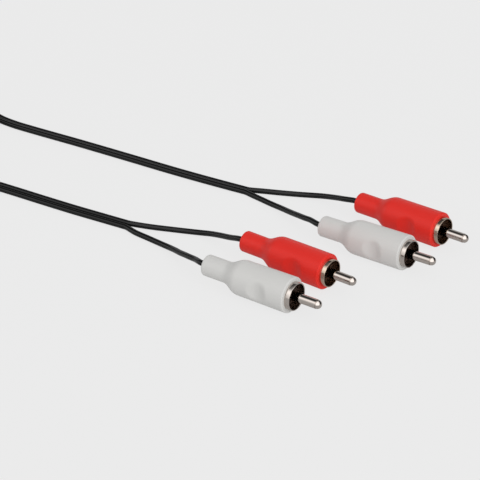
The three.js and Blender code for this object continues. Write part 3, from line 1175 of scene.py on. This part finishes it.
def rounded_loop(breadth, height, corner, steps):
    """The outline of a rounded rectangle, anticlockwise."""
    points = []
    for quarter, (sx, sy) in enumerate(((1, 1), (-1, 1), (-1, -1), (1, -1))):
        centre = (sx * (breadth / 2 - corner), sy * (height / 2 - corner))
        points += arc(centre, corner, quarter * 90.0, quarter * 90.0 + 90.0, steps)
    return points


loop_points = [(x, y, 0.0) for x, y in rounded_loop(LOOP_BREADTH, LOOP_HEIGHT, LOOP_CORNER, 6)]
loop_host = route_object(np.array(loop_points), [0.0] * len(loop_points))
loop_host.data.splines[0].use_cyclic_u = True
strap = settle(
    with_nodes(
        loop_host,
        STRAP_TREE,
        {
            "Width": STRAP_WIDTH * MM,
            "Thickness": STRAP_THICKNESS * MM,
            "Pitch": TOOTH_PITCH * MM,
            "Tooth height": TOOTH_HEIGHT * MM,
            "Finish": NYLON,
        },
    ),
    "tie_strap",
)
upright = Matrix.Rotation(math.pi / 2, 4, "X")
strap.data.transform(Matrix.Translation(TIE_PLACE * MM) @ upright)
enter(strap, "black_plastic", "coil_tie")
print("strap faces:", len(strap.data.polygons))

# %% [markdown]
# ## The tie's head
#
# The head is a small block with rounded edges. The strap goes through it, and its cut end stands
# out at the top.

# %% Tie head
HEAD = (3.2, 5.4, 4.2)
HEAD_X = -234.4
HEAD_ROUND = 0.5
HEAD_CORNER = 50.0
STUB_WIDTH = 3.6
STUB_EXTRA = 2.2
STUB_SHIFT = (0.3, 0.0, 0.6)

work = bmesh.new()
bmesh.ops.create_cube(work, size=1.0)
bmesh.ops.scale(work, vec=Vector(HEAD) * MM, verts=work.verts)
bmesh.ops.bevel(
    work, geom=list(work.edges), offset=HEAD_ROUND * MM, segments=4, profile=0.6, affect="EDGES"
)
stub = bmesh.ops.create_cube(work, size=1.0)["verts"]
stub_size = Vector((STRAP_THICKNESS, STUB_WIDTH, HEAD[2] + STUB_EXTRA))
bmesh.ops.scale(work, vec=stub_size * MM, verts=stub)
bmesh.ops.translate(work, vec=Vector(STUB_SHIFT) * MM, verts=stub)
head_place = Vector((HEAD_X, TIE_PLACE.y, TIE_PLACE.z))
bmesh.ops.translate(work, vec=head_place * MM, verts=work.verts)
head = plain_piece("tie_head", mesh_of(work, "tie_head"), HEAD_CORNER)
head.data.materials.append(NYLON)
enter(head, "black_plastic", "coil_tie")
print("head faces:", len(head.data.polygons))

# %% [markdown]
# ## The floor
#
# The product shot has one even pale background and very soft light. A wide pale floor fills the
# whole view. Part of its level is lit, so that it keeps the object's shadow, and part is its own
# glow. The share of glow depends on the kind of ray, so the floor can look pale to the camera and
# still be darker where the object mirrors it.

# %% Floor
FLOOR_REACH = 6.0
FLOOR_COLOUR = 0.550
FLOOR_LIGHT = 0.888
FLOOR_GLOW = {"seen": 0.85, "mirrored": 0.18, "others": 0.50}


def ray_kinds(tree):
    """Two outputs: 1 for rays from the camera, and 1 for rays that a surface mirrors."""
    ray = tree.node("ShaderNodeLightPath").socket.node.outputs
    mirrored = Wire(tree, ray["Is Glossy Ray"]) + Wire(tree, ray["Is Transmission Ray"])
    return Wire(tree, ray["Is Camera Ray"]), mirrored


floor_material, tree = new_material("floor")
seen, mirrored = ray_kinds(tree)
rest = FLOOR_GLOW["others"]
share = seen * (FLOOR_GLOW["seen"] - rest) + mirrored * (FLOOR_GLOW["mirrored"] - rest) + rest
lit = tree.node("ShaderNodeBsdfDiffuse", None, {"Color": (FLOOR_COLOUR,) * 3 + (1.0,)})
glow = tree.node("ShaderNodeEmission", None, {"Strength": FLOOR_LIGHT})
shader = tree.node("ShaderNodeMixShader", None, {0: share, 1: lit, 2: glow})
tree.node("ShaderNodeOutputMaterial", None, {"Surface": shader})
work = bmesh.new()
bmesh.ops.create_grid(work, x_segments=1, y_segments=1, size=FLOOR_REACH)
floor_mesh = mesh_of(work, "floor")
floor_mesh.materials.append(floor_material)
floor = new_object("floor", floor_mesh)
print("floor:", [round(value, 1) for value in floor.dimensions])

# %% [markdown]
# ## The world as a studio
#
# The world lights everything at a plain level, so that a colour renders about as it is written.
# Metal has no colour of its own: it shows what stands round it. So mirror rays see a studio instead
# of the plain world: a bright softbox in front, a dark flag overhead and grey walls behind. Its
# levels go by the angle round the plugs' axis, with one list for the side that the plugs' flanks
# mirror and one for the side that the pins' noses mirror.

# %% World
BACKGROUND = 0.831
WORLD_LIGHT = 0.71
STUDIO_CHANGE = {"From Min": -0.40, "From Max": -0.05}
STUDIO_LEFT = [
    (-180, 0.50), (-90, 0.60), (-12, 0.52), (5, 0.72), (20, 1.00), (32, 1.40), (42, 1.75),
    (52, 1.65), (62, 1.10), (72, 0.40), (79, 0.06), (128, 0.06), (136, 0.40), (144, 0.60),
    (180, 0.50),
]
STUDIO_RIGHT = [
    (-180, 0.60), (-90, 0.90), (-10, 2.00), (76, 2.00), (105, 1.50), (122, 0.30), (132, 0.05),
    (180, 0.05),
]
STUDIO_PEAK = 2.00

world = bpy.data.worlds.new("studio")
world.use_nodes = True
world.node_tree.nodes.clear()
bpy.context.scene.world = world
tree = Tree(world.node_tree)
direction = tree.node(
    "ShaderNodeSeparateXYZ", None, {0: tree.node("ShaderNodeTexCoord", output="Generated")}
).socket.node.outputs
up, front = Wire(tree, direction["Z"]), -Wire(tree, direction["Y"])
turn = up.maths("ARCTAN2", up, front) / (2 * math.pi) + 0.5


def studio_side(levels):
    """The studio's level on one side, by the angle round the plugs' axis."""
    stops = [((angle + 180) / 360, level / STUDIO_PEAK) for angle, level in levels]
    return tree.node("ShaderNodeValToRGB", {"stops": stops}, {0: turn}) * STUDIO_PEAK


east = Wire(tree, direction["X"])
right = tree.node("ShaderNodeMapRange", None, {"Value": east, **STUDIO_CHANGE})
studio = studio_side(STUDIO_LEFT) * (1 - right) + studio_side(STUDIO_RIGHT) * right
seen, mirrored = ray_kinds(tree)
level = seen * BACKGROUND + (1 - seen) * (mirrored * studio + (1 - mirrored) * WORLD_LIGHT)
background = tree.node("ShaderNodeBackground", None, {"Color": (1, 1, 1, 1), "Strength": level})
tree.node("ShaderNodeOutputWorld", None, {"Surface": background})
print("world nodes:", len(world.node_tree.nodes))

# %% [markdown]
# ## The key light
#
# One big soft lamp from the front right shapes the grips. It faces the origin, which lies between
# the plugs. Mirror rays don't see it, because the studio has its own softbox.

# %% Key light
KEY_DIRECTION = Vector((0.75, -0.45, 0.50)).normalized()
KEY_DISTANCE = 2.2
KEY_SIZE = 1.8
KEY_POWER = 22.0

key_data = bpy.data.lights.new("key_softbox", "AREA")
key_data.shape = "SQUARE"
key_data.size = KEY_SIZE
key_data.energy = KEY_POWER
key = new_object("key_softbox", key_data)
key.location = KEY_DIRECTION * KEY_DISTANCE
key.rotation_euler = KEY_DIRECTION.to_track_quat("Z", "Y").to_euler()
key.visible_glossy = False
print("key light at", [round(value, 2) for value in key.location])
